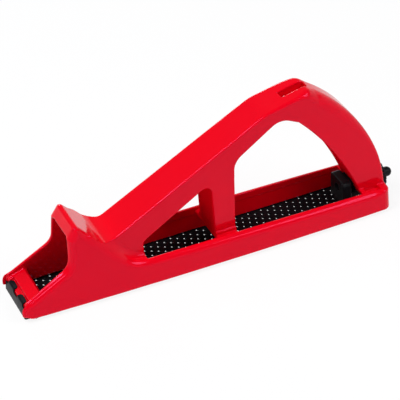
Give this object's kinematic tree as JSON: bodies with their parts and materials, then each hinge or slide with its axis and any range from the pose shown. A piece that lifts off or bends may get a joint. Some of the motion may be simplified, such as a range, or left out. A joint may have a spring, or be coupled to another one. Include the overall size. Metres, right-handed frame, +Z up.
{
  "type": "drywall plane",
  "caption": "Hand plane for drywall: moulded body with a loop handle and a horned nose over a perforated rasp blade, which a screw at the tail pulls tight.",
  "frame": {"origin": "middle of the part's box at the level of the blade's tooth tips", "axes": "+X along the blade from the nose to the tail, +Y to the left of someone who looks along +X, +Z up from the blade to the handle"},
  "size_m": [0.2803, 0.0496, 0.1071],
  "materials": {
    "body_plastic": "glossy red moulded plastic",
    "blade_steel": "black lacquered sheet steel",
    "black_plastic": "satin black plastic",
    "bright_steel": "zinc plated steel",
    "dark_steel": "dark spring steel"
  },
  "bodies": {
    "frame": {"body": "body_plastic", "thrust_washer": "bright_steel"},
    "screw": {"tension_screw": "bright_steel", "tension_knob": "black_plastic", "retaining_ring": "dark_steel"},
    "slider": {"tension_block": "black_plastic", "square_nut": "bright_steel", "hook_plate": "bright_steel", "hook_screws": "bright_steel"},
    "blade": {"rasp_blade": "blade_steel"}
  },
  "joints": [
    {"name": "screw_turn", "type": "hinge", "parent": "frame", "child": "screw", "pos_m": [0.125, 0, 0.0153], "axis": [1, 0, 0], "range_deg": [0, 1441]},
    {"name": "block_slide", "type": "slide", "parent": "frame", "child": "slider", "axis": [-1, 0, 0], "range_m": [0, 0.0032]},
    {"name": "blade_drop", "type": "hinge", "parent": "frame", "child": "blade", "pos_m": [-0.13418, 0, 0.0105], "axis": [0, 1, 0], "range_deg": [0, 16]}
  ],
  "couplings": [
    {"joint": "screw_turn", "follows": "block_slide", "rad_per_m": 7854}
  ]
}
